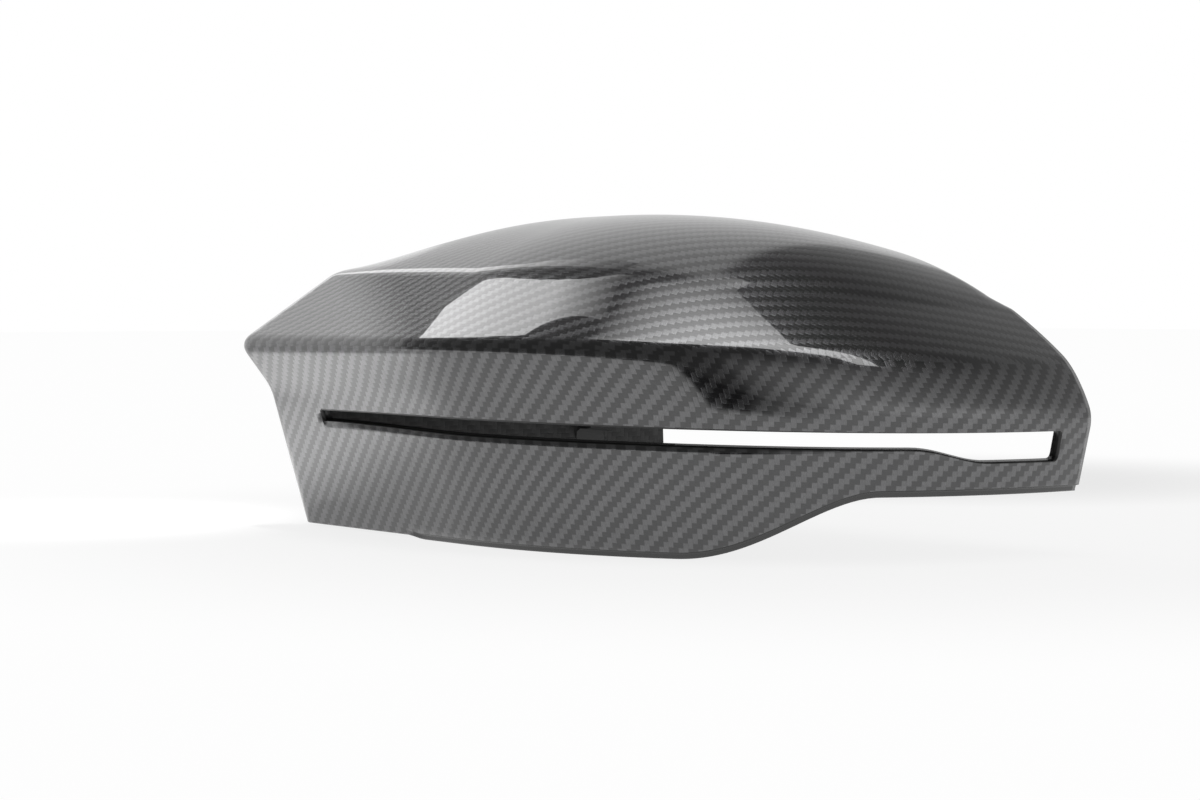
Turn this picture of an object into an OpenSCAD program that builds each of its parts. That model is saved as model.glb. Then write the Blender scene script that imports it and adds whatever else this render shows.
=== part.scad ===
// Wing mirror cover: a thin moulded shell over the front, the top and the inboard side
// of a mirror head. The back and the underside are open. X runs along the rear opening
// from the inboard side to the outboard side, Y runs rearward and Z is up. The origin is
// in the plane of the rear opening, on the surface that the cover stands on.

/* [Plan at the waist line] */
// Inboard end of the rear opening, from the origin
inboard_x = 87.4; // [80:0.1:100]
// Outboard end of the rear opening, from the origin
outboard_x = 91.2; // [84:0.1:105]
// Depth from the rear opening to the front wall
depth = 124.8; // [105:0.1:140]
// How much further inboard the front corner lies than the rear edge
corner_run = 35.2; // [20:0.1:45]
// Distance from the origin inboard to where the front wall starts to curve back
bend_x = 40; // [25:1:55]
// Exponent of the curved outboard side, 2 is an ellipse
bend_power = 2.12; // [2:0.01:2.6]
// Set-back of the rounded front corner
corner_round = 7; // [6:0.5:12]

/* [Heights] */
// Height of the waist crease above the surface that the cover stands on
waist_h = 41.7; // [38:0.1:46]
// Fall of the waist crease towards the outboard end
waist_fall = 5.3; // [2:0.1:7]
// Height of the shoulder crease
shoulder_h = 55; // [52:0.1:62]
// Fall of the shoulder crease towards the outboard end
shoulder_fall = 4.1; // [2:0.1:7]
// Height of the upper crease at the front corner
brow_h = 76.5; // [72:0.1:84]
// Fall of the upper crease along the straight front
brow_dip = 1; // [0:0.1:2]
// Fall of the upper crease towards the outboard end
brow_fall = 10.7; // [8:0.1:14]
// Rise of the roof over the upper crease
crown_rise = 19.7; // [14:0.1:24]
// Drop of the roof towards the rear edge
crown_drop = 10.8; // [6:0.1:13]

/* [Lean of the walls] */
// How far the foot of the front wall lies behind its waist
front_lean = 10.5; // [6:0.1:13]
// How far the foot of the outboard side lies inside its waist
side_lean = 9; // [5:0.1:12]
// How far the foot of the inboard wall lies inside its waist
inboard_lean = 4; // [2:0.1:7]
// How far the front shoulder stands out over the waist
front_flare = 6.5; // [3:0.1:9]
// How far the inboard shoulder stands out over the waist
inboard_flare = 7.5; // [4:0.1:9]
// How far the outboard shoulder lies inside the waist
side_tuck = 8.1; // [4:0.1:10]
// How far the outboard side bows out between its creases
side_bow = 0.8; // [0:0.1:1.5]
// Set-back of the upper crease from the shoulder, on the front
front_band = 23; // [18:0.1:27]
// Set-back of the upper crease from the shoulder, on the inboard side
inboard_band = 19; // [14:0.1:23]
// Set-back of the upper crease from the shoulder, on the outboard side
side_band = 20; // [16:0.1:24]

/* [Indicator slot] */
// Distance from the origin inboard to the narrow end of the slot
slot_x = 94; // [70:0.5:98]
// Length of wall left between the wide end of the slot and the rear edge
slot_end = 10.5; // [8:0.5:16]
// Height of the upper edge of the slot at its narrow end
slot_top_h = 35.6; // [34.5:0.1:37]
// Fall of the upper edge towards the wide end
slot_top_fall = 2.6; // [1:0.1:3]
// Height of the slot at its narrow end
slot_narrow = 3.2; // [2.6:0.1:3.6]
// Height of the slot along the front
slot_mid = 4.6; // [4.2:0.1:5]
// Height of the slot at its wide end
slot_wide = 8.1; // [6:0.1:9]
// Radius of the rounded corners of the slot
slot_r = 1.3; // [0.8:0.1:1.5]

/* [Lower edge] */
// Height of the raised edge at the outboard end
arch_h = 18.4; // [14:0.1:20]
// Height of the edge along the straight inboard part
foot_gap = 1; // [0.5:0.1:1.5]
// Distance from the origin inboard to where the inset lip starts
lip_x = 58; // [50:1:66]
// Height of the inset lip under the edge
lip_h = 1.8; // [1.2:0.1:2.4]
// Depth of the step between the wall and the lip
lip_in = 1; // [0.6:0.1:1.3]

/* [Wall] */
// Thickness of the shell
wall_t = 2.4; // [2:0.1:3]
// Extra thickness round the slot
slot_rim_t = 0.8; // [0:0.1:1]

/* [Snap hooks] */
// Width of a hook
hook_w = 8; // [5:0.5:10]
// Height of a hook over the inside of the shell
hook_h = 9.5; // [8:0.5:12]
// Thickness of the blade of a hook
hook_t = 2; // [1.6:0.1:2.6]
// Reach of the barb beyond the blade
hook_barb = 1.6; // [1:0.1:2.2]

/* [Hidden] */

shell_colour = [0.13, 0.13, 0.14];
hook_colour = [0.05, 0.05, 0.05];

// Outlines of the five levels: rear end of the inboard wall, front corner, depth and
// reach of the curved side from the bend.
reach = outboard_x + bend_x;
waist_line = [-inboard_x, -inboard_x - corner_run, depth, reach];
foot_line = waist_line + [inboard_lean / 2, inboard_lean, -front_lean, -side_lean];
shoulder_line = waist_line + [-inboard_flare, -inboard_flare, front_flare, -side_tuck];
brow_line = shoulder_line + [inboard_band, inboard_band, -front_band, -side_band];

// Part of the height of the lip that stays as a chamfer under the wall
lip_chamfer = 0.4;
// The lower edge rises to the arch between these parts of the depth
arch_start = 0.83 * depth;
arch_end = 0.5 * depth;
// The slot widens between these parts of the depth
widen_start = 0.44 * depth;
widen_end = 0.27 * depth;
// The slot reaches its full front height this far from its narrow end
slot_grow = 75;
// Half the length over which the lip sets in
lip_ease = 3;
// The creases start to fall this far inboard of the origin
fall_start = 10;
// Exponents of the fall of the three creases
waist_fall_power = 2;
shoulder_fall_power = 4;
brow_fall_power = 3;
// Exponents of the roof across its depth, at the inboard and the outboard side
crown_power_in = 3;
crown_power_out = 3.5;
// The first exponent changes to the second between these places along X
crown_from = -80;
crown_to = 30;
// Exponent of the roof beside the inboard wall
side_power = 6;
// Distance over which the roof rises beside the inboard wall
side_run = 81;
// Distance from the rear edge over which the roof drops
drop_run = 80;
// Width and drop of the rolled rear rim of the roof
rim_roll_w = 7;
rim_roll_drop = 1.4;
// The roll is whole where the roof has this part of its rise
rim_roll_from = 0.25;
// Ends of the line along which the roof meets the rear opening
roof_in = 22;
roof_out = 20;
// Exponent that spaces the columns along that line
roof_spread = 1.25;

// Step along the outline for slopes, in stations
side_step = 0.02;

function lerp(a, b, t) = a + (b - a) * t;
function unit(v) = v / norm(v);
function part_of(a, b, v) = min(max((v - a) / (b - a), 0), 1);
function ease(a, b, v) = let (t = part_of(a, b, v)) t * t * (3 - 2 * t);

// Point of an outline. The station runs 0 to 1 along the inboard wall, 1 to 2 round the
// front corner, 2 to 3 along the straight front and 3 to 4 round the curved side.
function outline(line, s) =
    let (
        rear = [line[0], 0],
        corner = [line[1], -line[2]],
        bend = [-bend_x, -line[2]],
        a = corner + corner_round * unit(rear - corner),
        b = corner + corner_round * unit(bend - corner),
        turn = 90 * min(max(s - 3, 0), 1)
    )
    s < 1 ? lerp(rear, a, s) :
    s < 2 ? lerp(lerp(a, corner, s - 1), lerp(corner, b, s - 1), s - 1) :
    s < 3 ? lerp(b, bend, s - 2) :
    [
        -bend_x + line[3] * pow(sin(turn), 2 / bend_power),
        -line[2] * pow(max(cos(turn), 0), 2 / bend_power)
    ];

function waist_z(s) =
    let (x = outline(waist_line, s)[0])
    waist_h - waist_fall * pow(part_of(-fall_start, outboard_x, x), waist_fall_power);

function shoulder_z(s) =
    let (
        x = outline(shoulder_line, s)[0],
        fall = part_of(-fall_start, outboard_x - side_tuck, x)
    )
    shoulder_h - shoulder_fall * pow(fall, shoulder_fall_power);

// Height of the upper crease over a point of the plan
function brow_z(x) =
    let (
        front = part_of(brow_line[1], -bend_x, x),
        side = part_of(-bend_x, brow_line[3] - bend_x, x)
    )
    brow_h - brow_dip * front - brow_fall * pow(side, brow_fall_power);

// Height of the roof over a point of the plan inside the upper crease
function roof_z(x, y) =
    let (
        side = part_of(-bend_x, brow_line[3] - bend_x, x),
        back = min(max(-y / brow_line[2], 0), 1),
        edge = min(pow(side, bend_power) + pow(back, bend_power), 1),
        power = lerp(crown_power_in, crown_power_out, part_of(crown_from, crown_to, x)),
        inboard = lerp(brow_line[0], brow_line[1], back),
        over = 1 - pow(edge, power / 2),
        beside = 1 - pow(1 - part_of(0, side_run, x - inboard), side_power),
        drop = crown_drop * pow(part_of(-drop_run, 0, y), 2),
        roll = rim_roll_drop * pow(part_of(-rim_roll_w, 0, y), 2),
        share = over * beside
    )
    brow_z(x) + share * (crown_rise - drop) - roll * min(share / rim_roll_from, 1);

// Point of the lower wall at a height
function wall_point(s, z) =
    let (p = lerp(outline(foot_line, s), outline(waist_line, s), z / waist_z(s)))
    [p[0], p[1], z];

// Level inward direction at a station
function inward(s) =
    let (
        a = outline(waist_line, max(s - side_step, 0)),
        b = outline(waist_line, min(s + side_step, 4)),
        d = unit(b - a)
    )
    [-d[1], d[0], 0];

// 1 where the lip is inset, 0 where the lower edge is plain
function lip_share(s) =
    s < 2 ? 0 : ease(-lip_x - lip_ease, -lip_x + lip_ease, outline(foot_line, s)[0]);

// Height of the lower edge
function foot_z(s) =
    let (p = outline(waist_line, s))
    s < 1 ? foot_gap * s :
    s < 3 ? foot_gap * (1 - lip_share(s)) :
    (arch_h - lip_h) * ease(-arch_start, -arch_end, p[1]);

// Distance along the front from the narrow end of the slot
function slot_run(s) = outline(waist_line, s)[0] + slot_x;

// Shortening of the slot height by the rounded corners, at a distance from its end
function slot_corner(run) =
    let (d = min(max(run, 0), slot_r)) slot_r - sqrt(slot_r * slot_r - pow(slot_r - d, 2));

function slot_edges(s) =
    let (
        p = outline(waist_line, s),
        run = part_of(-slot_x, outboard_x, p[0]),
        top = slot_top_h - slot_top_fall * run * run,
        grown = lerp(slot_narrow, slot_mid, ease(0, slot_grow, slot_run(s))),
        wide = s < 3 ? grown :
            lerp(grown, slot_wide, ease(-widen_start, -widen_end, p[1])),
        cut = s < 3 ? slot_corner(slot_run(s)) : slot_corner(-p[1] - slot_end)
    )
    [top - wide + cut, top - cut];

// Stations: the columns of the shell, close together at the rounded ends of the slot
slot_in_s = 2 + (-slot_x - waist_line[1] - corner_round)
    / (-bend_x - waist_line[1] - corner_round);
slot_out_s = 3 + acos(pow(slot_end / depth, bend_power / 2)) / 90;
round_steps = [0.3, 1];
straight_per_mm = 1 / (-bend_x - waist_line[1] - corner_round);
side_per_mm = (4 - slot_out_s) / slot_end;
// Columns along the inboard wall, round the corner, up to the slot, along the front,
// round the side and behind the slot
wall_cols = 12;
corner_cols = 6;
lead_cols = 3;
front_cols = 10;
side_cols = 45;
end_cols = 2;
stations = concat(
    [for (i = [0:wall_cols - 1]) i / wall_cols],
    [for (i = [0:corner_cols - 1]) 1 + i / corner_cols],
    [for (i = [0:lead_cols]) lerp(2, slot_in_s, i / lead_cols)],
    [for (k = round_steps) slot_in_s + k * slot_r * straight_per_mm],
    [for (i = [1:front_cols - 1]) lerp(slot_in_s + slot_r * straight_per_mm, 3, i / front_cols)],
    [for (i = [0:side_cols - 1]) lerp(3, slot_out_s - slot_r * side_per_mm, i / side_cols)],
    [for (k = [1, 0]) slot_out_s - round_steps[k] * slot_r * side_per_mm],
    [for (i = [0:end_cols]) lerp(slot_out_s, 4, i / end_cols)]
);
slot_first = wall_cols + corner_cols + lead_cols;
slot_last = len(stations) - 1 - end_cols;

// Rows of one column, from the lower edge up to the rear edge of the roof
edge_rows = 3;
sill_rows = 3;
slot_row = edge_rows + sill_rows - 1;
band_rows = 3;
brow_rows = 4;
roof_rows = 14;

// Columns that the snap hooks stand on, and the row of the roof hooks
roof_inboard_cols = [16, 22];
roof_middle_cols = [34, 37];
roof_outboard_cols = [56, 60];
inboard_wall_cols = [2, 3];
front_wall_cols = [28, 30];
roof_hook_row = slot_row + band_rows + brow_rows + roof_rows;

// Heights of a hook's flared root, its whole barb, the barb's catch and its straight part
root_h = 1;
barb_h = 3;
barb_slant = 0.2;
barb_land = 1;
// Thickness of a hook's tip, as a part of its blade
tip_share = 0.6;

function roof_end_x(s) = lerp(
    brow_line[0] + roof_in, brow_line[3] - bend_x - roof_out, pow(s / 4, roof_spread));

function roof_point(s, t) =
    let (
        a = outline(brow_line, s),
        b = [roof_end_x(s), 0],
        p = lerp(a, b, t)
    )
    [p[0], p[1], roof_z(p[0], p[1])];

// Point between two creases. The side bows out more and more towards the outboard end.
function bowed(s, a, b, t) =
    lerp(a, b, t) - 4 * t * (1 - t) * side_bow * part_of(3, 4, s) * inward(s);

function column(s) =
    let (
        z0 = foot_z(s),
        z1 = z0 + lip_h,
        cut = slot_edges(s),
        waist = concat(outline(waist_line, s), [waist_z(s)]),
        shoulder = concat(outline(shoulder_line, s), [shoulder_z(s)]),
        brow = roof_point(s, 0)
    )
    concat(
        [wall_point(s, z0), wall_point(s, z1 - lip_chamfer), wall_point(s, z1)],
        [for (k = [1:sill_rows]) wall_point(s, lerp(z1, cut[0], k / sill_rows))],
        [wall_point(s, cut[1]), wall_point(s, lerp(cut[1], waist[2], 0.5))],
        [for (i = [0:band_rows - 1]) bowed(s, waist, shoulder, i / band_rows)],
        [for (i = [0:brow_rows - 1]) bowed(s, shoulder, brow, i / brow_rows)],
        [for (i = [0:roof_rows]) roof_point(s, i / roof_rows)]
    );

skin = [for (s = stations) column(s)];
// The same columns a little to each side, for the slope of the skin
skin_before = [for (s = stations) column(max(s - side_step, 0))];
skin_after = [for (s = stations) column(min(s + side_step, 4))];
cols = len(skin);
rows = len(skin[0]);

// The inset of the lip moves the two lowest points of a column inward
function face_point(i, j) =
    j < 2 ? skin[i][j] + lip_in * lip_share(stations[i]) * inward(stations[i]) : skin[i][j];

// Inward normal of the skin, level along the lower edge
function skin_normal(i, j) =
    let (
        u = skin_after[i][j] - skin_before[i][j],
        v = skin[i][min(j + 1, rows - 1)] - skin[i][max(j - 1, 0)],
        n = cross(v, u)
    )
    unit([n[0], n[1], j == 0 ? 0 : n[2]]);

// Point at a count of steps along the rim of the rear opening: up the inboard wall,
// along the roof and down the curved side
function rim_point(k) =
    k < rows ? skin[0][max(k, 0)] :
    k < rows + cols - 1 ? skin[k - rows + 1][rows - 1] :
    skin[cols - 1][max(2 * rows + cols - 3 - k, 0)];

// Inward normal of the rim, in the plane of the rear opening
function rim_normal(k, level) =
    let (d = rim_point(k + 1) - rim_point(k - 1))
    unit([d[2], 0, level ? 0 : -d[0]]);

function back_normal(i, j) =
    i == 0 ? rim_normal(j, j == 0) :
    i == cols - 1 ? rim_normal(2 * rows + cols - 3 - j, j == 0) :
    j == rows - 1 ? rim_normal(rows - 1 + i, false) :
    skin_normal(i, j);

function thickness(i, j) =
    i >= slot_first && i <= slot_last && (j == slot_row || j == slot_row + 1)
    ? wall_t + slot_rim_t : wall_t;

function back_point(i, j) = skin[i][j] + thickness(i, j) * back_normal(i, j);

function in_slot(i, j) = j == slot_row && i >= slot_first && i < slot_last;

// Two triangles of a four-sided cell
function cell(a, b, c, d) = [[a, b, c], [a, c, d]];

module cover_shell() {
    n = cols * rows;
    points = concat(
        [for (i = [0:cols - 1]) for (j = [0:rows - 1]) face_point(i, j)],
        [for (i = [0:cols - 1]) for (j = [0:rows - 1]) back_point(i, j)]
    );
    function at(i, j) = i * rows + j;
    front = [
        for (i = [0:cols - 2]) for (j = [0:rows - 2]) if (!in_slot(i, j))
            each cell(at(i, j), at(i, j + 1), at(i + 1, j + 1), at(i + 1, j))
    ];
    back = [for (f = front) [f[0] + n, f[2] + n, f[1] + n]];
    // Strip that joins the face to the back along an edge of the shell
    function strip(a, b) = cell(a, b, b + n, a + n);
    lower = [for (i = [0:cols - 2]) each strip(at(i, 0), at(i + 1, 0))];
    upper = [for (i = [0:cols - 2]) each strip(at(i + 1, rows - 1), at(i, rows - 1))];
    inboard = [for (j = [0:rows - 2]) each strip(at(0, j + 1), at(0, j))];
    outboard = [for (j = [0:rows - 2]) each strip(at(cols - 1, j), at(cols - 1, j + 1))];
    slot_span = [slot_first:slot_last - 1];
    sill = [for (i = slot_span) each strip(at(i + 1, slot_row), at(i, slot_row))];
    head = [for (i = slot_span) each strip(at(i, slot_row + 1), at(i + 1, slot_row + 1))];
    ends = concat(
        strip(at(slot_first, slot_row), at(slot_first, slot_row + 1)),
        strip(at(slot_last, slot_row + 1), at(slot_last, slot_row))
    );
    color(shell_colour)
        polyhedron(points, concat(front, back, lower, upper, inboard, outboard, sill, head, ends));
}

// A snap hook bonded to the inside of the shell. Its foot is the patch of the inner face
// between two columns and two rows. Above it lie the rings of the root, the blade and the
// barb, each given as its height, width, thickness and shift to the side of the barb.
module hook(across, j0, j1) {
    i0 = across[0];
    i1 = across[1];
    loop = concat(
        [for (i = [i0:i1 - 1]) [i, j0]],
        [for (j = [j0:j1 - 1]) [i1, j]],
        [for (i = [i1:-1:i0 + 1]) [i, j1]],
        [for (j = [j1:-1:j0 + 1]) [i0, j]]
    );
    count = len(loop);
    centre = (back_point(i0, j0) + back_point(i1, j0) + back_point(i0, j1) + back_point(i1, j1)) / 4;
    along = back_point(i1, j0) + back_point(i1, j1) - back_point(i0, j0) - back_point(i0, j1);
    up = back_point(i0, j1) + back_point(i1, j1) - back_point(i0, j0) - back_point(i1, j0);
    rise = unit(cross(up, along));
    wide = unit(along);
    thin = unit(cross(wide, rise));
    barb_t = hook_t + hook_barb;
    barb_z = hook_h - barb_h;
    rings = [
        [root_h, hook_w + root_h, 2 * hook_t, 0],
        [2 * root_h, hook_w, hook_t, 0],
        [barb_z, hook_w, hook_t, 0],
        [barb_z + barb_slant, hook_w, barb_t, hook_barb / 2],
        [barb_z + barb_land, hook_w, barb_t, hook_barb / 2],
        [hook_h, hook_w - root_h, tip_share * hook_t, 0]
    ];
    function ring_point(r, k) =
        let (
            u = (k[0] - i0) / (i1 - i0) - 0.5,
            v = (k[1] - j0) / (j1 - j0) - 0.5
        )
        centre + r[0] * rise + u * r[1] * wide + (v * r[2] + r[3]) * thin;
    patch = [for (i = [i0:i1]) for (j = [j0:j1]) [i, j]];
    span = j1 - j0 + 1;
    function in_patch(k) = (k[0] - i0) * span + k[1] - j0;
    function ring_start(r) = len(patch) + r * count;
    points = concat(
        [for (k = patch) back_point(k[0], k[1])],
        [for (r = rings) for (k = loop) ring_point(r, k)]
    );
    foot = [
        for (i = [i0:i1 - 1]) for (j = [j0:j1 - 1])
            each cell(
                in_patch([i, j]), in_patch([i, j + 1]),
                in_patch([i + 1, j + 1]), in_patch([i + 1, j])
            )
    ];
    root = [
        for (k = [0:count - 1])
            let (a = in_patch(loop[k]), b = in_patch(loop[(k + 1) % count]))
            each cell(a, b, ring_start(0) + (k + 1) % count, ring_start(0) + k)
    ];
    sides = [
        for (r = [0:len(rings) - 2]) for (k = [0:count - 1])
            each cell(
                ring_start(r) + k, ring_start(r) + (k + 1) % count,
                ring_start(r + 1) + (k + 1) % count, ring_start(r + 1) + k
            )
    ];
    tip = [[for (k = [0:count - 1]) ring_start(len(rings) - 1) + k]];
    color(hook_colour)
        polyhedron(points, concat(foot, root, sides, tip));
}

module hook_roof_inboard() {
    hook(roof_inboard_cols, roof_hook_row, roof_hook_row + 1);
}

module hook_roof_middle() {
    hook(roof_middle_cols, roof_hook_row, roof_hook_row + 1);
}

module hook_roof_outboard() {
    hook(roof_outboard_cols, roof_hook_row, roof_hook_row + 1);
}

module hook_inboard_wall() {
    hook(inboard_wall_cols, slot_row - 1, slot_row);
}

module hook_front_wall() {
    hook(front_wall_cols, edge_rows - 1, edge_rows);
}

cover_shell();
hook_roof_inboard();
hook_roof_middle();
hook_roof_outboard();
hook_inboard_wall();
hook_front_wall();
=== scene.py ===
"""Looks of the wing mirror cover: the clear-coated twill shell, its smooth lip and edges,
and the snap hooks inside. Lengths of the shell are in millimetres until its last node."""

import math

import bpy
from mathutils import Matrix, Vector


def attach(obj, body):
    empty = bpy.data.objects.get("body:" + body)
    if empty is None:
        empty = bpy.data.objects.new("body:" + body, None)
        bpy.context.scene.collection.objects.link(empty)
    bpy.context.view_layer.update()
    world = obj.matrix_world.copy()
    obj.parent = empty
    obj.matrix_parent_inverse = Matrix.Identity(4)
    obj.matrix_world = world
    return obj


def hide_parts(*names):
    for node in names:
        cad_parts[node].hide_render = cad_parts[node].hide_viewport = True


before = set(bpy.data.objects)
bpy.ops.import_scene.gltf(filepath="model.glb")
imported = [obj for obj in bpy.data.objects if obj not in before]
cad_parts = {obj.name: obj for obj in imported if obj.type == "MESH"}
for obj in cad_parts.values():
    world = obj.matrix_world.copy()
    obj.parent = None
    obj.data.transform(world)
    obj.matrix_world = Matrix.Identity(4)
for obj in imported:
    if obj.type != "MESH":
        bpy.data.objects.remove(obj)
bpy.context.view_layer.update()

SHELL = {
    "inboard_x": 87.4,
    "outboard_x": 91.2,
    "depth": 124.8,
    "corner_run": 35.2,
    "bend_x": 40.0,
    "bend_power": 2.12,
    "corner_round": 7.0,
    "waist_h": 41.7,
    "waist_fall": 5.3,
    "shoulder_h": 55.0,
    "shoulder_fall": 4.1,
    "brow_h": 76.5,
    "brow_dip": 1.0,
    "brow_fall": 10.7,
    "crown_rise": 19.6,
    "crown_drop": 10.8,
    "front_lean": 10.5,
    "side_lean": 9.0,
    "inboard_lean": 4.0,
    "front_flare": 6.5,
    "inboard_flare": 7.5,
    "side_tuck": 8.1,
    "side_bow": 0.8,
    "front_band": 23.0,
    "inboard_band": 19.0,
    "side_band": 20.0,
    "slot_x": 94.0,
    "slot_end": 10.5,
    "slot_top_h": 35.6,
    "slot_top_fall": 2.6,
    "slot_narrow": 3.2,
    "slot_mid": 4.6,
    "slot_wide": 8.1,
    "slot_r": 1.3,
    "arch_h": 18.4,
    "foot_gap": 1.0,
    "lip_x": 58.0,
    "lip_h": 1.8,
    "lip_in": 1.0,
    "wall_t": 2.4,
    "slot_rim_t": 0.8,
    "waist_round": 3.0,
    "shoulder_round": 3.8,
    "brow_round": 3.0,
    "tow": 1.43,
    "band_drape": 0.4,
    "top_drape": 0.7,
    "top_shear": 0.25,
}


class Value:
    """An output socket of a node tree. Its operators add Math nodes, or Vector Math nodes
    where one side is a vector."""

    def __init__(self, net, socket):
        self.net = net
        self.socket = socket
        self.vector = socket.type in {"VECTOR", "RGBA"}

    def join(self, operation, other, turned=False):
        a, b = (other, self) if turned else (self, other)
        is_vector = [v.vector if isinstance(v, Value) else isinstance(v, tuple) for v in (a, b)]
        if not any(is_vector):
            return self.net.math(operation, a, b)
        if operation == "MULTIPLY" and not all(is_vector):
            return self.net.scale(a, b) if is_vector[0] else self.net.scale(b, a)
        return self.net.vector_math(operation, a, b)

    def __add__(self, other):
        return self.join("ADD", other)

    __radd__ = __add__

    def __sub__(self, other):
        return self.join("SUBTRACT", other)

    def __rsub__(self, other):
        return self.join("SUBTRACT", other, turned=True)

    def __mul__(self, other):
        return self.join("MULTIPLY", other)

    __rmul__ = __mul__

    def __truediv__(self, other):
        return self.join("DIVIDE", other)

    def __rtruediv__(self, other):
        return self.join("DIVIDE", other, turned=True)

    def __pow__(self, other):
        return self.join("POWER", other)

    def __neg__(self):
        return self * -1.0

    def __gt__(self, other):
        return self.join("GREATER_THAN", other)

    def __lt__(self, other):
        return self.join("LESS_THAN", other)


class Net:
    """Adds nodes to a tree."""

    def __init__(self, tree):
        self.tree = tree

    def node(self, kind, settings=None, inputs=None, out=0):
        """A node of a kind, with its settings and the values or links of its sockets."""
        made = self.tree.nodes.new(kind)
        for name, value in (settings or {}).items():
            setattr(made, name, value)
        for key, value in (inputs or {}).items():
            socket = made.inputs[key]
            if isinstance(value, Value):
                self.tree.links.new(value.socket, socket)
            else:
                socket.default_value = value
        if out is None:
            return made
        return Value(self, made.outputs[out])

    def math(self, operation, *values):
        return self.node("ShaderNodeMath", {"operation": operation}, dict(enumerate(values)))

    def vector_math(self, operation, *values, out=0):
        settings = {"operation": operation}
        return self.node("ShaderNodeVectorMath", settings, dict(enumerate(values)), out)

    def scale(self, vector, factor):
        settings = {"operation": "SCALE"}
        return self.node("ShaderNodeVectorMath", settings, {"Vector": vector, "Scale": factor})

    def unit(self, vector):
        return self.vector_math("NORMALIZE", vector)

    def length(self, vector):
        return self.vector_math("LENGTH", vector, out=1)

    def dot(self, a, b):
        return self.vector_math("DOT_PRODUCT", a, b, out=1)

    def vec(self, x=0.0, y=0.0, z=0.0):
        return self.node("ShaderNodeCombineXYZ", inputs={"X": x, "Y": y, "Z": z})

    def split(self, vector):
        made = self.node("ShaderNodeSeparateXYZ", inputs={0: vector}, out=None)
        return [Value(self, socket) for socket in made.outputs]

    def part_of(self, low, high, value, smooth=False):
        """How far a value is from low to high, 0 to 1."""
        settings = {"interpolation_type": "SMOOTHSTEP" if smooth else "LINEAR", "clamp": True}
        inputs = {"Value": value, "From Min": low, "From Max": high, "To Min": 0.0, "To Max": 1.0}
        return self.node("ShaderNodeMapRange", settings, inputs)

    def noise(self, vector, scale, detail):
        inputs = {"Vector": vector, "Scale": scale, "Detail": detail}
        return self.node("ShaderNodeTexNoise", inputs=inputs)

    def grey(self, tone):
        return self.vec(tone, tone, tone)

    def bump(self, height, strength, distance):
        inputs = {"Height": height, "Strength": strength, "Distance": distance}
        return self.node("ShaderNodeBump", inputs=inputs)

    def least(self, a, b):
        return self.math("MINIMUM", a, b)

    def most(self, a, b):
        return self.math("MAXIMUM", a, b)


def lerp(a, b, t):
    return a + (b - a) * t


# A length past all others
FAR = 100.0


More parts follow.
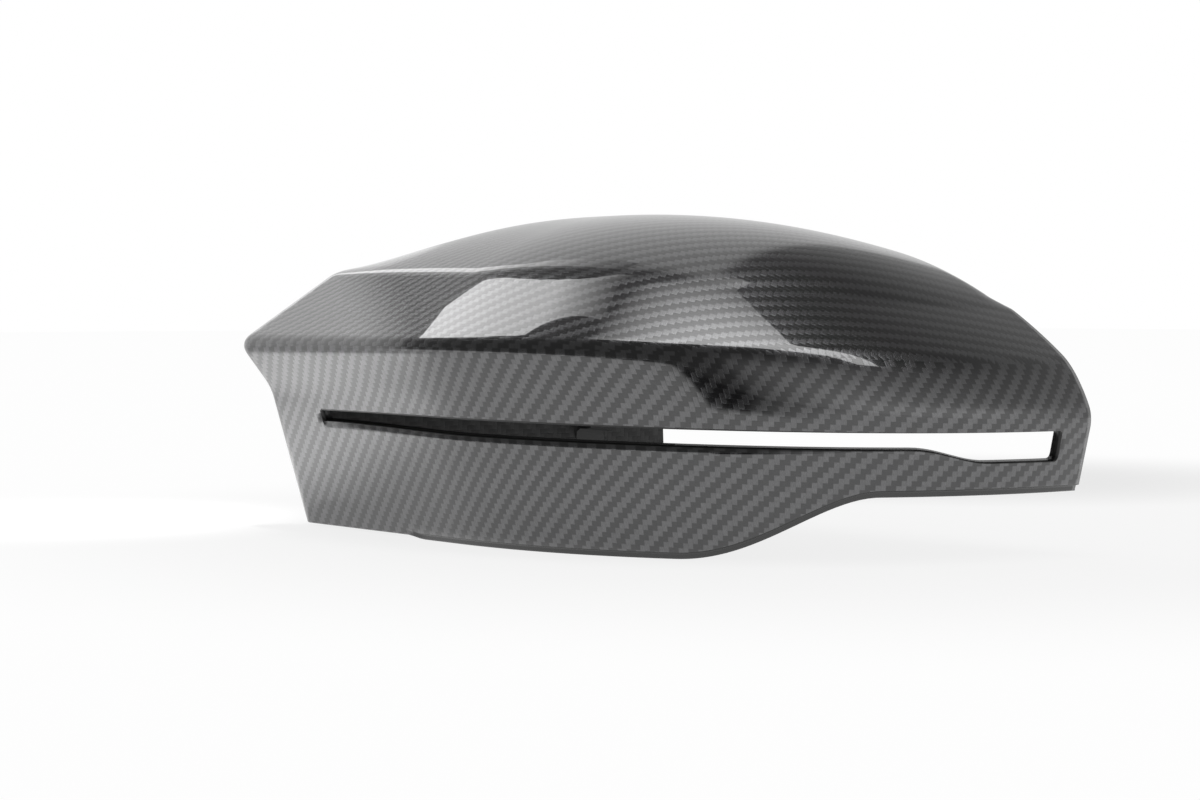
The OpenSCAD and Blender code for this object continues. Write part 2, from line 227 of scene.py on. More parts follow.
class ShellShape:
    """The formulas of the shell as fields, over the station s along the outline and the
    height h up a column. The inboard wall runs from station 0 to 1, its front corner to 2,
    the straight front to 3, and the bend to the outboard end to 4."""

    # Heights up a column that stand for the band, the slanted band and the roof
    BAND = 14.0
    SLANT = 31.0
    ROOF = 100.0
    # X from which the waist and the shoulder fall toward the outboard end
    FALL_FROM = -10.0
    # How square the dome is at its inboard and outboard side, and between which X
    DOME_POWERS = (3.0, 3.5)
    DOME_SPAN = (-80.0, 30.0)
    # The dome rises from the inboard wall over this run
    INBOARD_RUN = 81.0
    INBOARD_POWER = 6.0
    # Y from which the crown drops toward the rear
    DROP_FROM = -80.0
    # The rear rim rolls down over its last millimetres
    ROLL = 1.4
    ROLL_FROM = -7.0
    # How far the roof's rear line stays off the inboard and the outboard end
    REAR_INBOARD = 22.0
    REAR_OUTBOARD = 20.0
    REAR_POWER = 1.25
    # Where the arch and the wide part of the slot begin and end, in shares of the depth
    ARCH = (-0.83, -0.5)
    WIDENING = (-0.44, -0.27)
    # The slot grows over its first part
    SLOT_GROWTH = 75.0
    # Half the run over which the lip fades in, and half the groove's height
    LIP_FADE = 3.0
    GROOVE = 0.35
    # How far from the slot the wall is as thin as elsewhere, and up to where it is thick
    THICK_FADE = (3.0, 1.0)
    # Height of the finer rows along the rear rim
    RIM_ROWS = 8.0

    def __init__(self, net, sizes):
        self.net = net
        self.size = sizes
        self.reach = sizes["outboard_x"] + sizes["bend_x"]
        inboard_x = -sizes["inboard_x"]
        self.waist_line = [inboard_x, inboard_x - sizes["corner_run"], sizes["depth"], self.reach]
        inboard_lean, inboard_flare = sizes["inboard_lean"], sizes["inboard_flare"]
        inboard_band = sizes["inboard_band"]
        lean = [inboard_lean * 0.5, inboard_lean, -sizes["front_lean"], -sizes["side_lean"]]
        flare = [-inboard_flare, -inboard_flare, sizes["front_flare"], -sizes["side_tuck"]]
        band = [inboard_band, inboard_band, -sizes["front_band"], -sizes["side_band"]]
        self.foot_line = [a + b for a, b in zip(self.waist_line, lean)]
        self.shoulder_line = [a + b for a, b in zip(self.waist_line, flare)]
        self.brow_line = [a + b for a, b in zip(self.shoulder_line, band)]

    def set_station(self, s):
        """Shares of the four stretches at a station."""
        net = self.net
        self.s = s
        self.wall_share = net.part_of(0.0, 1.0, s)
        self.corner_share = net.part_of(1.0, 2.0, s)
        self.front_share = net.part_of(2.0, 3.0, s)
        self.side_share = net.part_of(3.0, 4.0, s)
        turn = self.side_share * (math.pi / 2)
        root = 2.0 / self.size["bend_power"]
        self.side_x = net.math("SINE", turn) ** root
        self.side_y = net.most(net.math("COSINE", turn), 0.0) ** root

    def outline(self, line):
        """Point of an outline at the station, as a vector with no height."""
        net = self.net
        size = self.size
        rear = net.vec(line[0])
        corner = net.vec(line[1], -line[2])
        before = corner + net.unit(rear - corner) * size["corner_round"]
        after = corner + net.vec(size["corner_round"])
        q = self.corner_share
        rounded = (corner - before) * (2.0 * q * (1.0 - q)) + (after - before) * (q * q)
        front = net.vec((-size["bend_x"] - line[1] - size["corner_round"]) * self.front_share)
        side = net.vec(line[3] * self.side_x, line[2] * (1.0 - self.side_y))
        return rear + (before - rear) * self.wall_share + rounded + front + side

    def waist_z(self, x):
        size = self.size
        share = self.net.part_of(self.FALL_FROM, size["outboard_x"], x)
        return size["waist_h"] - size["waist_fall"] * share ** 2.0

    def shoulder_z(self, x):
        size = self.size
        share = self.net.part_of(self.FALL_FROM, size["outboard_x"] - size["side_tuck"], x)
        return size["shoulder_h"] - size["shoulder_fall"] * share ** 4.0

    def roof_z(self, x, y):
        net = self.net
        size = self.size
        line = self.brow_line
        front = net.part_of(line[1], -size["bend_x"], x)
        side = net.part_of(-size["bend_x"], line[3] - size["bend_x"], x)
        back = net.part_of(0.0, -line[2], y)
        brow = size["brow_h"] - size["brow_dip"] * front - size["brow_fall"] * side ** 3.0
        edge = net.least(side ** size["bend_power"] + back ** size["bend_power"], 1.0)
        power = lerp(*self.DOME_POWERS, net.part_of(*self.DOME_SPAN, x))
        over = 1.0 - edge ** (power * 0.5)
        inboard = lerp(line[0], line[1], back)
        beside = 1.0 - (1.0 - net.part_of(0.0, self.INBOARD_RUN, x - inboard)) ** self.INBOARD_POWER
        drop = size["crown_drop"] * net.part_of(self.DROP_FROM, 0.0, y) ** 2.0
        roll = self.ROLL * net.part_of(self.ROLL_FROM, 0.0, y) ** 2.0
        dome = over * beside * (size["crown_rise"] - drop)
        return brow + dome - roll * net.least(4.0 * over * beside, 1.0)

    def rear_x(self):
        """Where the roof's column meets the rear opening."""
        outboard = self.brow_line[3] - self.size["bend_x"] - self.REAR_OUTBOARD
        return lerp(self.brow_line[0] + self.REAR_INBOARD, outboard, (self.s * 0.25) ** self.REAR_POWER)

    def bowing(self, band_share, slant_share):
        """How far the two bands bow outward at the outboard end."""
        net = self.net
        bow = self.size["side_bow"] * self.side_share * 4.0
        bulge = band_share * (1.0 - band_share) + slant_share * (1.0 - slant_share)
        outward = net.vec(self.side_x * self.size["depth"], -self.side_y * self.reach)
        return net.unit(outward) * (bow * bulge)

    def ramp(self, h, round_off):
        """The length past a crease, rounded off over a set-back on both sides."""
        net = self.net
        near = net.most(net.least(h, round_off) + round_off, 0.0)
        return near * near / (4.0 * round_off) + net.most(h - round_off, 0.0)


def row_field(net, j, stops):
    """Height at row j, from the stops' heights and the rows between them."""
    height = stops[0][1]
    row = 0
    for (_, low), (count, high) in zip(stops, stops[1:]):
        height = height + (high - low) * net.part_of(float(row), float(row + count), j)
        row += count
    return height


def shell_columns():
    """Columns of the shell from the rear of the inboard wall to the outboard end: how many
    lead to each station. The slot lies between the fourth and the last."""
    straight = SHELL["inboard_x"] + SHELL["corner_run"] - SHELL["bend_x"] - SHELL["corner_round"]
    narrow_from = SHELL["inboard_x"] + SHELL["corner_run"] - SHELL["slot_x"] - SHELL["corner_round"]
    slot_in = 2.0 + narrow_from / straight
    end_turn = math.acos((SHELL["slot_end"] / SHELL["depth"]) ** (SHELL["bend_power"] / 2))
    slot_out = 3.0 + math.degrees(end_turn) / 90.0
    in_step = SHELL["slot_r"] / straight
    out_step = SHELL["slot_r"] * (4.0 - slot_out) / SHELL["slot_end"]
    return [
        (0, 0.0), (40, 1.0), (18, 2.0), (8, slot_in), (6, slot_in + in_step), (24, 3.0),
        (84, slot_out - out_step), (6, slot_out), (8, 4.0),
    ]


# Rows between the lines that a column passes: the lip and its groove, the slot, the set-backs of
# the waist, the shoulder crease and the upper crease, and the roof up to the rear rim
LIP_ROWS = [1, 3, 2]
TO_SLOT, SLOT_ROWS, TO_WAIST = 14, 5, 8
CREASE_ROWS = [8, 8, 12, 20, 12]
ROOF_ROWS = [36, 12]


def lower_edge(net, shape, foot_x, waist_y):
    """Heights of the foot and of the laminate's edge over it, and where the lip is."""
    size = shape.size
    lip_from, lip_to = -size["lip_x"] - shape.LIP_FADE, -size["lip_x"] + shape.LIP_FADE
    lip_share = net.part_of(lip_from, lip_to, foot_x, smooth=True) * (shape.s > 2.0)
    arch_from, arch_to = [share * size["depth"] for share in shape.ARCH]
    rise = net.part_of(arch_from, arch_to, waist_y, smooth=True) * (shape.s > 3.0)
    plain = size["foot_gap"] * shape.wall_share * (1.0 - lip_share)
    foot_z = plain + (size["arch_h"] - size["lip_h"]) * rise
    return foot_z, foot_z + size["lip_h"], lip_share


def slot_heights(net, shape, waist_x, waist_y):
    """Heights of the slot's lower and upper edge, and how high it is without its corners."""
    size = shape.size
    run = net.part_of(-size["slot_x"], size["outboard_x"], waist_x)
    slot_top = size["slot_top_h"] - size["slot_top_fall"] * run * run
    past_end = waist_x + size["slot_x"]
    grown = net.part_of(0.0, shape.SLOT_GROWTH, past_end, smooth=True)
    slot_h = lerp(size["slot_narrow"], size["slot_mid"], grown)
    widen_from, widen_to = [share * size["depth"] for share in shape.WIDENING]
    widen = net.part_of(widen_from, widen_to, waist_y, smooth=True) * (shape.s > 3.0)
    slot_h = lerp(slot_h, size["slot_wide"], widen)

    # The corners are round: what each end cuts off the height
    def corner_cut(distance, is_other_end):
        radius = size["slot_r"]
        near = net.least(net.most(distance, 0.0) + FAR * is_other_end, radius)
        return radius - net.math("SQRT", net.most(radius * radius - (radius - near) ** 2.0, 0.0))

    cut = corner_cut(past_end, shape.s > 2.9)
    cut = cut + corner_cut(-waist_y - size["slot_end"], shape.s < 2.9)
    return slot_top - slot_h + cut, slot_top - cut, slot_h


def on_domain(net, domain, value):
    """A field as it is on another domain."""
    settings = {"data_type": "FLOAT", "domain": domain}
    return net.node("GeometryNodeFieldOnDomain", settings, {"Value": value})


def store(net, geometry, name, value, data_type="FLOAT", domain="POINT"):
    """The geometry with a field stored in it under a name."""
    settings = {"data_type": data_type, "domain": domain}
    inputs = {"Geometry": geometry, "Name": name, "Value": value}
    return net.node("GeometryNodeStoreNamedAttribute", settings, inputs)


def stored(net, name, data_type="FLOAT"):
    """The field that was stored under a name."""
    return net.node("GeometryNodeInputNamedAttribute", {"data_type": data_type}, {"Name": name})


class Cloth:
    """Places on the twill in tows, counted along the outline and up the columns."""

    def __init__(self, net, size, column, row, row_count):
        self.net = net
        self.size = size
        self.column = column
        self.row = row
        index = net.node("GeometryNodeInputIndex")
        self.before = on_domain(net, "POINT", net.most(index - float(row_count), 0.0))

    def step_along(self, value):
        """From the last column to this one."""
        settings = {"data_type": "FLOAT_VECTOR", "domain": "POINT"}
        inputs = {"Index": self.before, "Value": value}
        return value - self.net.node("GeometryNodeFieldAtIndex", settings, inputs)

    def sum_along(self, value, data_type):
        """Sum of the steps along a row."""
        settings = {"data_type": data_type, "domain": "POINT"}
        inputs = {"Value": value, "Group ID": self.row}
        return self.net.node("GeometryNodeAccumulateField", settings, inputs)

    def below_shoulder(self, waist, wall_dir, below_waist, band_run, band_share):
        """Laid along the wall and the band."""
        net, size = self.net, self.size
        step = self.step_along(waist)
        tangent = net.unit(step)
        drape = net.dot(band_run * band_share, tangent) * size["band_drape"]
        u = self.sum_along(net.length(step), "FLOAT") + net.dot(wall_dir * below_waist, tangent) + drape
        v = net.length(wall_dir) * below_waist + net.length(band_run) * band_share
        return net.vec(u, v) / size["tow"]

    def above_shoulder(self, shoulder, up_slant, roof_x, roof_y):
        """Laid out anew: here the cloth turns less than the outline does."""
        net, size = self.net, self.size
        step = self.step_along(shoulder)
        step_x, step_y, _ = net.split(step)
        turn = net.math("ARCTAN2", step_y, step_x) * (self.column > 0.5)
        laid = turn * size["top_drape"]
        over = turn - laid
        cos_laid, sin_laid = net.math("COSINE", laid), net.math("SINE", laid)
        cos_over, sin_over = net.math("COSINE", over), net.math("SINE", over)
        run = self.sum_along(net.vec(cos_laid, sin_laid) * net.length(step), "FLOAT_VECTOR")
        slanted = net.vec(-sin_laid, cos_laid) * up_slant
        on_roof = net.vec(roof_x * cos_over + roof_y * sin_over, roof_y * cos_over - roof_x * sin_over)
        u, v, _ = net.split((run + slanted + on_roof) / size["tow"])
        slip = (v - u) * size["top_shear"]
        return net.vec(u + slip, v + slip)


def shell_tree():
    """Geometry Nodes tree that makes the closed shell, with a named input for each size."""
    tree = bpy.data.node_groups.new("cover shell shape", "GeometryNodeTree")
    tree.interface.new_socket("Geometry", in_out="OUTPUT", socket_type="NodeSocketGeometry")
    for name, value in SHELL.items():
        socket = tree.interface.new_socket(name, in_out="INPUT", socket_type="NodeSocketFloat")
        socket.default_value = value
    net = Net(tree)
    group_in = tree.nodes.new("NodeGroupInput")
    size = {socket.name: Value(net, socket) for socket in group_in.outputs if socket.name in SHELL}
    shape = ShellShape(net, size)

    columns = shell_columns()
    cols = sum(count for count, _ in columns) + 1
    rows = sum(LIP_ROWS) + TO_SLOT + SLOT_ROWS + TO_WAIST + sum(CREASE_ROWS) + sum(ROOF_ROWS) + 1
    grid = net.node("GeometryNodeMeshGrid", inputs={
        "Size X": cols - 1.0, "Size Y": rows - 1.0, "Vertices X": cols, "Vertices Y": rows,
    })
    x, y, _ = net.split(net.node("GeometryNodeInputPosition"))
    i = net.math("ROUND", x + (cols - 1) / 2)
    j = net.math("ROUND", y + (rows - 1) / 2)

    shape.set_station(row_field(net, i, columns))
    foot, waist = shape.outline(shape.foot_line), shape.outline(shape.waist_line)
    shoulder, brow = shape.outline(shape.shoulder_line), shape.outline(shape.brow_line)
    waist_x, waist_y, _ = net.split(waist)
    brow_x, brow_y, _ = net.split(brow)
    waist_z = shape.waist_z(waist_x)
    brow_z = shape.roof_z(brow_x, brow_y)
    waist_at = waist + net.vec(0.0, 0.0, waist_z)
    shoulder_at = shoulder + net.vec(0.0, 0.0, shape.shoulder_z(net.split(shoulder)[0]))
    brow_at = brow + net.vec(0.0, 0.0, brow_z)
    foot_z, edge_z, lip_share = lower_edge(net, shape, net.split(foot)[0], waist_y)
    slot_low, slot_high, slot_h = slot_heights(net, shape, waist_x, waist_y)

    # Height h up a column, 0 at the waist
    w, r, b = size["waist_round"], size["shoulder_round"], size["brow_round"]
    band, slant, roof = shape.BAND, shape.SLANT, shape.ROOF
    heights = [
        foot_z + shape.GROOVE - waist_z, edge_z - shape.GROOVE - waist_z, edge_z - waist_z,
        slot_low - waist_z, slot_high - waist_z, -w, w, band - r, band + r, band + slant - b,
        band + slant + b, band + slant + roof - shape.RIM_ROWS, band + slant + roof,
    ]
    counts = [*LIP_ROWS, TO_SLOT, SLOT_ROWS, TO_WAIST, *CREASE_ROWS, *ROOF_ROWS]
    h = row_field(net, j, [(0, foot_z - waist_z), *zip(counts, heights)])
    past_waist = shape.ramp(h, w)
    past_shoulder = shape.ramp(h - band, r)
    past_brow = shape.ramp(h - (band + slant), b)
    below_waist = h - past_waist
    band_share = (past_waist - past_shoulder) / band
    slant_share = (past_shoulder - past_brow) / slant
    roof_share = past_brow / roof

    # The wall, the two bands and the roof, which runs from the upper crease to the opening
    wall_dir = (waist_at - foot) / waist_z
    band_run, slant_run = shoulder_at - waist_at, brow_at - shoulder_at
    rear_x = shape.rear_x()
    roof_x = lerp(brow_x, rear_x, roof_share)
    roof_y = brow_y * (1.0 - roof_share)
    roof_rise = shape.roof_z(roof_x, roof_y) - brow_z
    place = waist_at + wall_dir * below_waist
    place = place + band_run * band_share + slant_run * slant_share
    place = place + net.vec(roof_x - brow_x, roof_y - brow_y, roof_rise)
    place = place + shape.bowing(band_share, slant_share)

    # The lip is set back under the wall, past the groove's row
    lip_rows = float(sum(LIP_ROWS[:2]))
    inward = -1.0 * net.unit(net.vec(*net.split(waist - foot)[:2]))
    lip_depth = size["lip_in"] * lip_share * net.part_of(lip_rows + 1.2, lip_rows + 0.2, j)
    place = place + inward * lip_depth

    cloth = Cloth(net, size, i, j, rows)
    weave_below = cloth.below_shoulder(waist, wall_dir, below_waist, band_run, band_share)
    up_slant = net.length(slant_run) * slant_share
    weave_above = cloth.above_shoulder(shoulder, up_slant, roof_x - brow_x, roof_y - brow_y)
    to_shoulder = sum(LIP_ROWS) + TO_SLOT + SLOT_ROWS + TO_WAIST + sum(CREASE_ROWS[:2])
    is_above = on_domain(net, "FACE", j) > to_shoulder + CREASE_ROWS[2] * 0.5

    # The wall is thicker round the slot
    slot_first = sum(count for count, _ in columns[:4])
    slot_last = cols - 1 - columns[-1][0]
    off_middle = net.math("ABSOLUTE", h + waist_z - (slot_low + slot_high) * 0.5)
    near_slot = net.part_of(*shape.THICK_FADE, off_middle - slot_h * 0.5)
    near_slot = near_slot * net.part_of(slot_first - 4.0, float(slot_first), i)
    near_slot = near_slot * net.part_of(slot_last + 6.0, float(slot_last), i)

    face = store(net, grid, "column", i)
    face = store(net, face, "row", j)
    face = store(net, face, "lip_share", lip_share)
    face = store(net, face, "weave", lerp(weave_below, weave_above, is_above), "FLOAT2", "CORNER")
    face = store(net, face, "thickness", size["wall_t"] + size["slot_rim_t"] * near_slot)
    face = net.node("GeometryNodeSetPosition", inputs={"Geometry": face, "Position": place})
    column, row = stored(net, "column"), stored(net, "row")
    slot_row = float(sum(LIP_ROWS) + TO_SLOT)
    slot_end_row = slot_row + SLOT_ROWS
    along_slot = (column > slot_first) * (column < slot_last)
    in_slot = (row > slot_row) * (row < slot_end_row) * along_slot
    settings = {"domain": "FACE", "mode": "ALL"}
    face = net.node("GeometryNodeDeleteGeometry", settings, {"Geometry": face, "Selection": in_slot})
    whole = close_shell(net, face, column, row, cols, rows)

    with_lip = stored(net, "lip_share") > 0.4
    # Painted shade: one row of the outer face just over the slot takes the black edge material,
    # standing for the shade along the slot's rounded upper edge.
    painted_shade_over_slot = (row > slot_end_row) * (row < slot_end_row + 1.0) * along_slot
    places = [
        ("carbon", True),
        ("edge", net.most((row < lip_rows + 2.0) * with_lip, painted_shade_over_slot)),
        ("lip", (row < lip_rows) * with_lip),
        ("inside", stored(net, "inner", "BOOLEAN")),
        ("edge", stored(net, "rim", "BOOLEAN")),
    ]
    for name, where in places:
        inputs = {"Geometry": whole, "Selection": where, "Material": MATERIALS[name]}
        whole = net.node("GeometryNodeSetMaterial", inputs=inputs)
    group_out = tree.nodes.new("NodeGroupOutput")
    tree.links.new(whole.socket, group_out.inputs[0])
    return tree


def close_shell(net, face, column, row, cols, rows):
    """The outer face with its inner side and its edges, in metres. The edges are flat in the
    rear opening and level along the foot."""
    normal_x, normal_y, normal_z = net.split(net.node("GeometryNodeInputNormal"))
    open_y = 1.0 - net.part_of(0.5, 0.0, column)
    open_y = open_y - net.part_of(cols - 1.5, cols - 1.0, column)
    open_y = open_y - net.part_of(rows - 1.5, rows - 1.0, row)
    level_z = 1.0 - net.part_of(0.5, 0.0, row)
    flat_normal = net.unit(net.vec(normal_x, normal_y * net.most(open_y, 0.0), normal_z * level_z))
    inner_at = net.node("GeometryNodeInputPosition") - flat_normal * stored(net, "thickness")
    face = store(net, face, "inner_at", inner_at, "FLOAT_VECTOR")

    extruded = net.node(
        "GeometryNodeExtrudeMesh", {"mode": "FACES"},
        {"Mesh": face, "Offset Scale": 0.0, "Individual": False}, out=None,
    )
    inner = Value(net, extruded.outputs["Mesh"])
    inner = store(net, inner, "inner", Value(net, extruded.outputs["Top"]), "BOOLEAN", "FACE")
    inner = store(net, inner, "rim", Value(net, extruded.outputs["Side"]), "BOOLEAN", "FACE")
    inner = net.node("GeometryNodeSetPosition", inputs={
        "Geometry": inner, "Selection": stored(net, "inner", "BOOLEAN"),
        "Position": stored(net, "inner_at", "FLOAT_VECTOR"),
    })
    inner = net.node("GeometryNodeFlipFaces", inputs={"Mesh": inner})
    joined = net.node("GeometryNodeJoinGeometry", out=None)
    for part in (inner, face):
        net.tree.links.new(part.socket, joined.inputs[0])
    whole = Value(net, joined.outputs[0])
    whole = net.node("GeometryNodeMergeByDistance", inputs={"Geometry": whole, "Distance": 0.002})
    whole = net.node("GeometryNodeSetShadeSmooth", inputs={"Geometry": whole})
    to_metres = {"Geometry": whole, "Scale": (0.001, 0.001, 0.001)}
    whole = net.node("GeometryNodeTransform", inputs=to_metres)
    return net.node("GeometryNodeRealizeInstances", inputs={"Geometry": whole})


def new_material(name):
    """An empty node material and the Net that fills it."""
    material = bpy.data.materials.new(name)
    material.use_nodes = True
    material.node_tree.nodes.clear()
    return material, Net(material.node_tree)


def set_surface(net, shader):
    net.node("ShaderNodeOutputMaterial", inputs={"Surface": shader}, out=None)


def principled(net, **inputs):
    named = {key.replace("_", " "): value for key, value in inputs.items()}
    return net.node("ShaderNodeBsdfPrincipled", inputs=named)


# How square a tow is, and how often its fibres change in a tow's width
TOW_POWER = 8.0
FIBRE_ACROSS = 9.0
FIBRE_ALONG = 1.5
# Depth of the twill's relief under the coat and of the inner side, in metres
RELIEF = 0.0001


def twill(net):
    """Twill from the weave UV, two tows over and two under: where the warp is on top, the
    height of the tows, 0 to 1, and the tone of the fibres, about 1."""
    u, v, _ = net.split(net.node("ShaderNodeUVMap", {"uv_map": "weave"}))
    cell_u, cell_v = net.math("FLOOR", u), net.math("FLOOR", v)
    warp_up = net.math("FLOORED_MODULO", cell_u - cell_v, 4.0) < 1.5
    # Places along a float, 0 and 1 where it dives under, and across its tow, -1 to 1
    warp_run = net.math("FLOORED_MODULO", v - cell_u + 1.0, 4.0) * 0.5
    weft_run = net.math("FLOORED_MODULO", u - cell_v + 2.0, 4.0) * 0.5
    across_u, across_v = (u - cell_u) * 2.0 - 1.0, (v - cell_v) * 2.0 - 1.0
    warp_crown = 1.0 - (net.least(warp_run, 1.0) * 2.0 - 1.0) ** TOW_POWER
    weft_crown = 1.0 - (net.least(weft_run, 1.0) * 2.0 - 1.0) ** TOW_POWER
    warp_height = warp_crown * (1.0 - net.math("ABSOLUTE", across_u) ** TOW_POWER)
    weft_height = weft_crown * (1.0 - net.math("ABSOLUTE", across_v) ** TOW_POWER)
    height = lerp(weft_height, warp_height, warp_up)
    fibre_warp = net.noise(net.vec(u * FIBRE_ACROSS, v * FIBRE_ALONG), 1.0, 2.0)
    fibre_weft = net.noise(net.vec(u * FIBRE_ALONG, v * FIBRE_ACROSS), 1.0, 2.0)
    fibre = lerp(fibre_weft, fibre_warp, warp_up)
    # Steps that give each tow a tone of its own
    tow_place = net.vec(cell_u * 7.3, cell_v * 5.1, warp_up * 3.0)
    tow_tone = net.noise(tow_place, 1.0, 0.0)
    return warp_up, height, (0.4 + 1.2 * fibre) * (0.8 + 0.4 * tow_tone)


def carbon_material():
    """Carbon twill below a smooth clear coat. Its warp is lighter than its weft in colour: a painted
    sheen that stands for the fibres' directional highlight.
    """
    material, net = new_material("clear coated twill")
    warp_up, height, fibres = twill(net)
    # Painted sheen and painted shade: the warp's tone is raised for its directional highlight, and each
    # float darkens toward its ends and sides, where its tow curves away.
    tone = lerp(0.03, 0.105, warp_up * (0.75 + 0.25 * height)) * fibres
    bump = net.bump(height + fibres * 0.1, 0.2, RELIEF)
    colour = net.vec(tone, tone, tone * 1.03)
    shader = principled(
        net, Base_Color=colour, Metallic=1.0, Roughness=0.24, Normal=bump,
        Coat_Weight=1.0, Coat_Roughness=0.012, Coat_IOR=1.8,
    )
    set_surface(net, shader)
    return material


def inside_material():
    """The same twill on the inner side, uncoated and dull."""
    material, net = new_material("dull laminate")
    warp_up, height, fibres = twill(net)
    # Painted sheen: the warp is a little lighter than the weft, standing for the fibres' directional
    # highlight.
    tone = lerp(0.012, 0.024, warp_up) * fibres
    bump = net.bump(height, 0.5, RELIEF)
    shader = principled(net, Base_Color=net.grey(tone), Roughness=0.5, Normal=bump)
    set_surface(net, shader)
    return material


# Grains a metre and their depth
GRAIN = 600.0
GRAIN_DEPTH = 0.00003


def plain_material(name, tone, roughness, coat=0.0):
    """A dark plastic with a fine grain."""
    material, net = new_material(name)
    grain = net.noise(net.node("ShaderNodeTexCoord", out="Object"), GRAIN, 3.0)
    colour = net.grey(tone * (0.8 + 0.4 * grain))
    bump = net.bump(grain, 0.3, GRAIN_DEPTH)
    shader = principled(
        net, Base_Color=colour, Roughness=roughness + 0.1 * grain, Normal=bump,
        Coat_Weight=coat, Coat_Roughness=0.02,
    )
    set_surface(net, shader)
    return material


MATERIALS = {
    "carbon": carbon_material(),
    "inside": inside_material(),
    "lip": plain_material("smooth black lip", 0.02, 0.22, coat=0.8),
    # Besides the true edges, this black also paints the shade line over the slot.
    "edge": plain_material("smooth black edge and painted shade line", 0.006, 0.3, coat=0.15),
    "hook": plain_material("moulded black nylon", 0.02, 0.5),
}


def make_shell():
    """The shell's mesh from its Geometry Nodes, as a piece without a modifier."""
    mesh = bpy.data.meshes.new("carbon_shell")
    maker = bpy.data.objects.new("carbon_shell_maker", mesh)
    bpy.context.scene.collection.objects.link(maker)
    modifier = maker.modifiers.new("shape", "NODES")
    modifier.node_group = shell_tree()
    for item in modifier.node_group.interface.items_tree:
        if item.in_out == "INPUT":
            modifier[item.identifier] = SHELL[item.name]
    graph = bpy.context.evaluated_depsgraph_get()
    made = bpy.data.meshes.new_from_object(
        maker.evaluated_get(graph), preserve_all_data_layers=True, depsgraph=graph,
    )
    bpy.data.objects.remove(maker)
    shell = bpy.data.objects.new("carbon_shell", made)
    bpy.context.scene.collection.objects.link(shell)
    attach(shell, "root")
    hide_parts("cover_shell")


make_shell()

for name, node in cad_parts.items():
    if name.startswith("hook_"):
        node.data.materials.clear()
        node.data.materials.append(MATERIALS["hook"])


# Studio, in metres. The panels are laid out round a point of the cover's front, and the
# floor's level round its outer bend
MIDDLE = Vector((-0.03, -0.09, 0.05))
OUTER_BEND = (0.047, -0.097, 0.046)
CEILING = 2.5
FLOOR = 6.0
# Level directions across the edges of the dark gap and of the bright left rear
GAP_LEFT = (0.883, 0.469, 0.0)
GAP_RIGHT = (0.719, 0.695, 0.0)
LEFT_REAR = (1.0, 0.72, 0.02)
OVERHEAD_LEVEL = 0.14
GAP_DEPTH = 0.96
# Centre of a painted shadow on the floor behind the cover's opening: a soft grey disc that stands for
# the cover's shadow
PAINTED_SHADOW_CENTRE = (-0.13, 0.19, 0.0)
# The lamp beside the cover
SPOT_PLACE = (-0.19, -0.165, 1.2)
SPOT_POOL = 0.085
SPOT_LEVEL = 3.0


def studio_level(net, way):
    """How bright the studio is in a direction: white low down and at the left rear, dim
    overhead, with a dark gap between the lamps in front."""
    x, y, up = net.split(way)
    past_gap = net.dot(way, GAP_RIGHT)
    right = 0.15 * net.part_of(-0.02, 0.03, past_gap) + 0.85 * net.part_of(0.0, 0.5, past_gap)
    gap = net.part_of(-0.01, 0.03, net.dot(way, GAP_LEFT)) * (1.0 - right)
    gap = gap * net.part_of(-0.5, -0.4, up)
    left_rear = net.part_of(0.04, -0.04, net.dot(way, LEFT_REAR), smooth=True)
    left_rear = left_rear * net.part_of(-0.03, 0.05, y - 0.2 * up)
    far_left = net.part_of(-0.818, -0.836, x, smooth=True)
    low = net.part_of(0.85, 0.3, up) * (1.0 - 0.45 * net.part_of(0.3, 0.8, y))
    lit = net.most(net.most(0.65 * left_rear, far_left), right * low)
    above = lerp(OVERHEAD_LEVEL, 1.0, lit)
    return lerp(1.0 - GAP_DEPTH * gap, above, net.part_of(-0.03, 0.03, up))


def make_floor():
    """White floor that fades into the white background. It is matt in part near the cover and more so
    in a disc behind it, and greyer there even where nothing shades it: a painted shadow. Its matt part
    also keeps the real shadow."""
    mesh = bpy.data.meshes.new("studio_floor")
    corners = [(-FLOOR, -FLOOR, 0), (FLOOR, -FLOOR, 0), (FLOOR, FLOOR, 0), (-FLOOR, FLOOR, 0)]
    mesh.from_pydata(corners, [], [(0, 1, 2, 3)])
    floor = bpy.data.objects.new("studio_floor", mesh)
    bpy.context.scene.collection.objects.link(floor)
    material, net = new_material("white floor")
    place = net.node("ShaderNodeTexCoord", out="Object")
    # Painted shadow: in a disc behind the opening, and less so near the cover, the floor is less white
    # whether or not anything shades it.
    behind = net.part_of(0.2, 0.04, net.length(place - PAINTED_SHADOW_CENTRE), smooth=True)
    near = net.part_of(0.3, 0.14, net.length(place), smooth=True)
    shade = net.most(0.4 * behind, 0.14 * near)
    rays = net.node("ShaderNodeLightPath", out=None)
    glossy = Value(net, rays.outputs["Is Glossy Ray"])
    level = lerp(1.0, studio_level(net, net.unit(place - OUTER_BEND)), glossy)
    white = net.node("ShaderNodeEmission", inputs={"Color": net.grey(level)})
    matt = net.node("ShaderNodeBsdfDiffuse", inputs={"Color": net.grey(level)})
    white_share = lerp(0.97 - shade, 0.7, glossy)
    set_surface(net, net.node("ShaderNodeMixShader", inputs={0: white_share, 1: matt, 2: white}))
    mesh.materials.append(material)


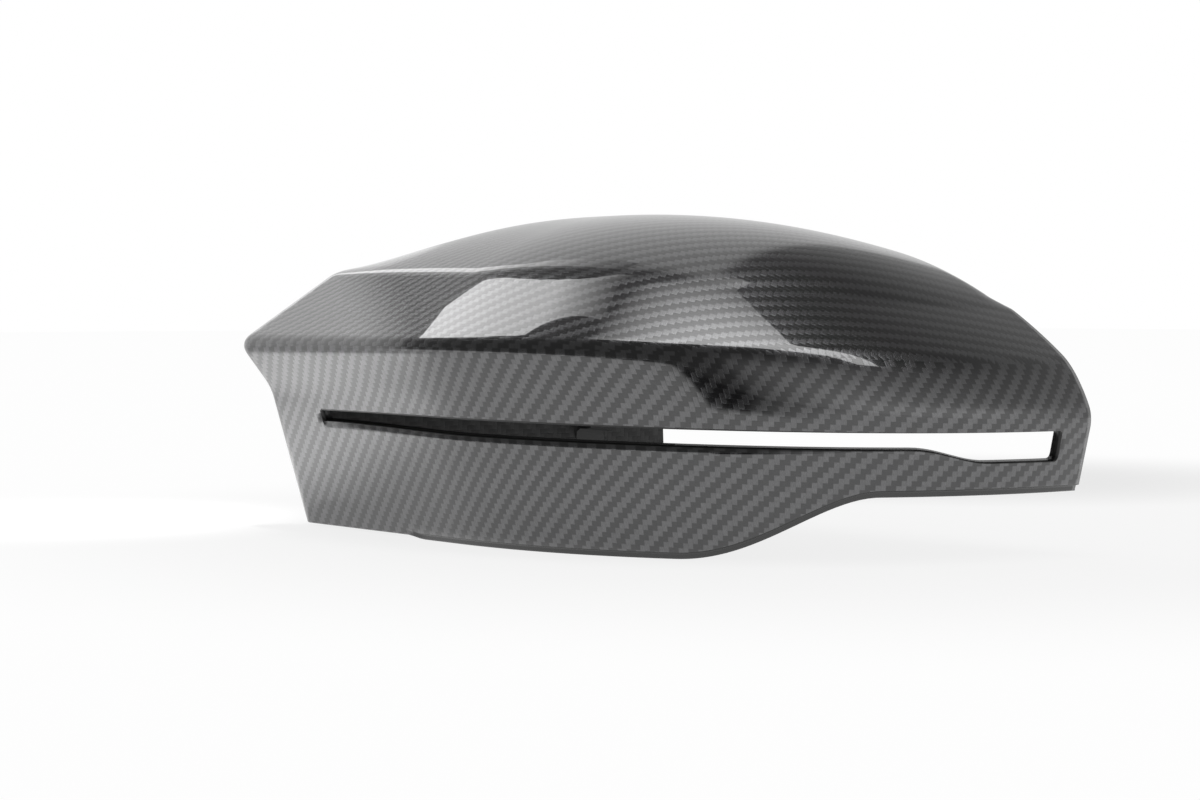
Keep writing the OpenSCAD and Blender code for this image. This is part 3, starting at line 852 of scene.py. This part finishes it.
def softbox(name, outline, power, edge, run):
    """Panel of light at the ceiling. Its corners are given by how far they lean from
    straight up. It is dim at an edge and full one run away from it."""
    high = CEILING - MIDDLE.z
    mesh = bpy.data.meshes.new(name)
    corners = [MIDDLE + Vector((x, y, 1.0)) * high for x, y in outline]
    mesh.from_pydata(corners, [], [range(len(corners))])
    panel = bpy.data.objects.new(name, mesh)
    bpy.context.scene.collection.objects.link(panel)
    material, net = new_material(name)
    place = net.node("ShaderNodeTexCoord", out="Object")
    lean = (place - tuple(MIDDLE)) * (1.0 / high)
    across = Vector((*run, 0.0))
    share = net.dot(lean - (*edge, 0.0), tuple(across / across.length_squared))
    level = lerp(0.1, 1.0, net.part_of(0.0, 1.0, share))
    inputs = {"Color": net.grey(level), "Strength": power}
    set_surface(net, net.node("ShaderNodeEmission", inputs=inputs))
    mesh.materials.append(material)


def make_world():
    """The studio as the reflections and the light see it, and plain white for the camera."""
    world = bpy.data.worlds.new("studio")
    world.use_nodes = True
    bpy.context.scene.world = world
    world.node_tree.nodes.clear()
    net = Net(world.node_tree)
    rays = net.node("ShaderNodeLightPath", out=None)
    seen = Value(net, rays.outputs["Is Camera Ray"])
    way = net.unit(net.node("ShaderNodeTexCoord", out="Generated"))
    lit = net.node("ShaderNodeBackground", inputs={"Color": net.grey(studio_level(net, way))})
    white = net.node("ShaderNodeBackground", inputs={"Color": (1, 1, 1, 1)})
    mixed = net.node("ShaderNodeMixShader", inputs={0: seen, 1: lit, 2: white})
    net.node("ShaderNodeOutputWorld", inputs={"Surface": mixed}, out=None)


def floor_spot():
    """Lamp straight over the floor at the left: its cone passes beside the cover."""
    high = SPOT_PLACE[2]
    data = bpy.data.lights.new("floor_spot", "SPOT")
    data.spot_size = 2.0 * math.atan(SPOT_POOL / high)
    data.spot_blend = 1.0
    data.shadow_soft_size = 0.03
    data.energy = SPOT_LEVEL * math.pi * 4.0 * math.pi * high ** 2
    light = bpy.data.objects.new("floor_spot", data)
    bpy.context.scene.collection.objects.link(light)
    light.location = SPOT_PLACE


# Outlines of the panels, each with its power, the edge where it is dim, and the run from there
PANELS = {
    "front_strip": ([
        (-1.35, 0.075), (-1.118, 0.027), (-0.872, -0.039), (-0.726, -0.063), (-0.616, -0.064),
        (-0.525, -0.051), (-0.463, -0.004), (-0.424, 0.068), (-0.36, 0.1), (-0.36, -0.069),
        (-0.449, -0.091), (-0.519, -0.108), (-0.592, -0.125), (-0.678, -0.15), (-1.35, -0.15),
    ], 3.0, (-0.36, 0.0), (-0.24, 0.0)),
    "top_panel": ([
        (-0.363, -0.07), (-0.333, -0.035), (-0.311, 0.004), (-0.279, 0.044), (-0.242, 0.097),
        (-0.214, 0.158), (-0.188, 0.212), (-0.175, 0.25), (-0.155, 0.278), (-0.12, 0.296),
        (-0.06, 0.303), (0.05, 0.3), (0.3, 0.27), (0.83, 0.2), (0.83, 0.09), (0.5, 0.1),
        (0.2, 0.0), (0.0, -0.15), (-0.363, -0.15),
    ], 3.0, (-0.35, -0.07), (0.13, -0.07)),
    "rear_strip": ([
        (-2.4, 0.4), (-1.0, 0.26), (-0.5, 0.2), (-0.5, 0.25), (-1.0, 0.36), (-2.4, 0.6),
    ], 2.4, (-0.5, 0.0), (-1.0, 0.0)),
}

make_floor()
for name, panel in PANELS.items():
    softbox(name, *panel)
floor_spot()
make_world()

# Camera: the photograph is 1200 pixels wide, its horizon lies 91 pixels over its middle
PHOTO_W = 1200.0
FOCAL_PX = 2500.0
HORIZON_PX = 91.0
SENSOR_W = 36.0
camera_data = bpy.data.cameras.new("camera")
camera_data.sensor_width = SENSOR_W
camera_data.lens = SENSOR_W * FOCAL_PX / PHOTO_W
camera_data.clip_start = 0.01
camera = bpy.data.objects.new("camera", camera_data)
bpy.context.scene.collection.objects.link(camera)
camera.location = (0.5238, -0.5166, 0.065)
look = Vector((-0.7782, 0.628, -HORIZON_PX / FOCAL_PX))
camera.rotation_euler = look.to_track_quat("-Z", "Y").to_euler()
bpy.context.scene.camera = camera

bpy.context.scene.view_settings.view_transform = "Standard"
